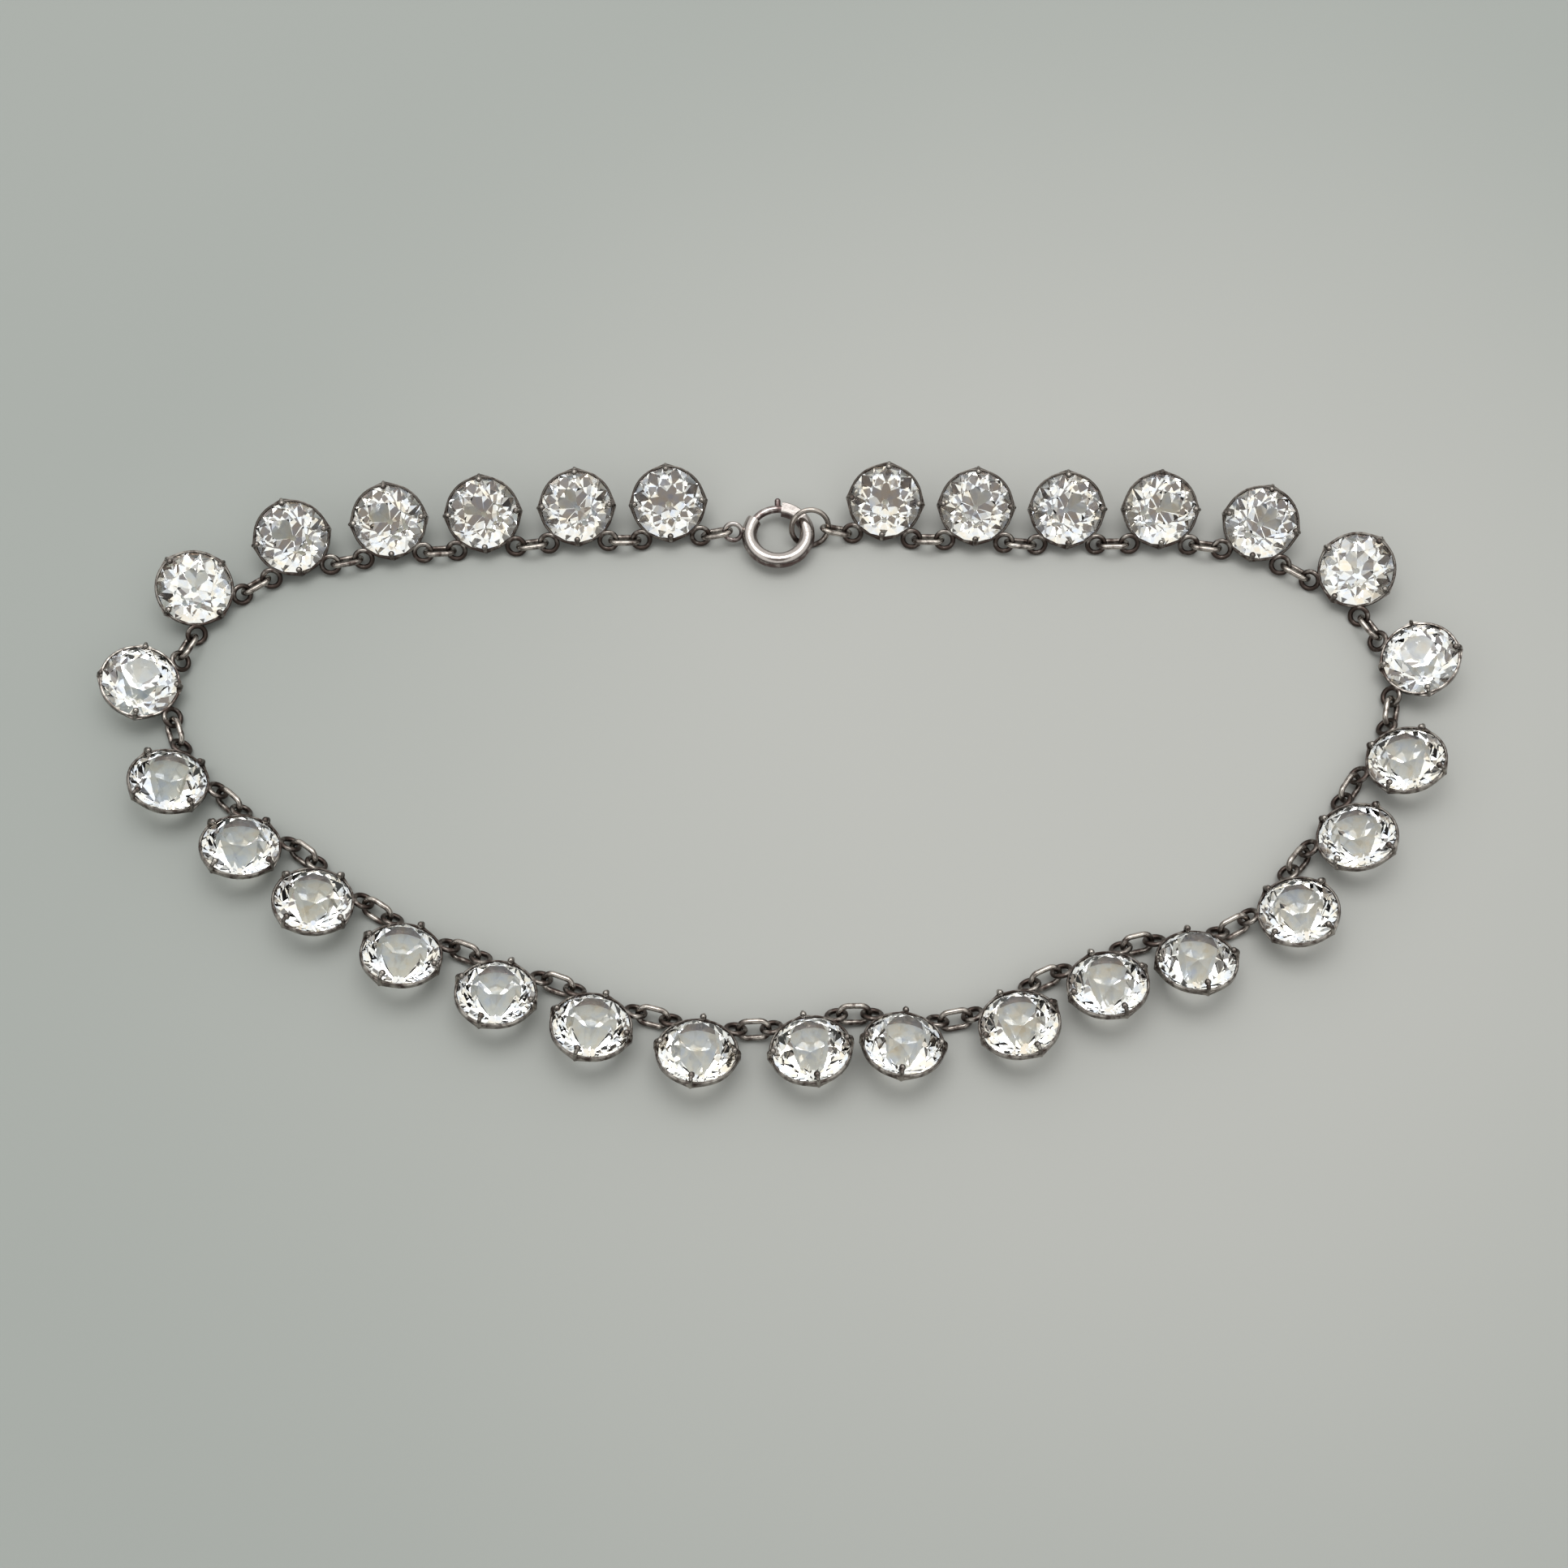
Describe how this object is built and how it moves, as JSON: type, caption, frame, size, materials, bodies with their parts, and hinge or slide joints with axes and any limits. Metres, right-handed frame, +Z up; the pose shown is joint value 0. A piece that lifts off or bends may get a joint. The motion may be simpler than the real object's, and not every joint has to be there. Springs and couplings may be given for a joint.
{
  "type": "riviere necklace",
  "caption": "Riviere necklace: round faceted stones in open claw cups, joined by oblong links and closed by a sprung bolt ring.",
  "frame": {"origin": "middle of the necklace's outline on the surface that it lies on", "axes": "+Z up, +Y from the middle towards the clasp, +X to the right with the clasp at the top"},
  "size_m": [0.172, 0.083, 0.0071],
  "materials": {
    "crystal": "polished facets, foil-bright",
    "silver": "worn silver with dark recesses",
    "bright_silver": "polished"
  },
  "bodies": {
    "necklace": {"stone_01": "crystal", "stone_02": "crystal", "stone_03": "crystal", "stone_04": "crystal", "stone_05": "crystal", "stone_06": "crystal", "stone_07": "crystal", "stone_08": "crystal", "stone_09": "crystal", "stone_10": "crystal", "stone_11": "crystal", "stone_12": "crystal", "stone_13": "crystal", "stone_14": "crystal", "stone_15": "crystal", "stone_16": "crystal", "stone_17": "crystal", "stone_18": "crystal", "stone_19": "crystal", "stone_20": "crystal", "stone_21": "crystal", "stone_22": "crystal", "stone_23": "crystal", "stone_24": "crystal", "stone_25": "crystal", "stone_26": "crystal", "stone_27": "crystal", "stone_28": "crystal", "stone_29": "crystal", "settings": "silver", "links": "silver", "bolt_ring": "bright_silver", "end_ring": "silver"},
    "bolt": {"bolt": "bright_silver"}
  },
  "joints": [
    {"name": "bolt_slide", "type": "hinge", "parent": "necklace", "child": "bolt", "pos_m": [-0.00045, 0.03271, 0.0019], "axis": [0, 0, -1], "range_deg": [0, 46], "stiffness_Nm_per_rad": 0.004}
  ]
}
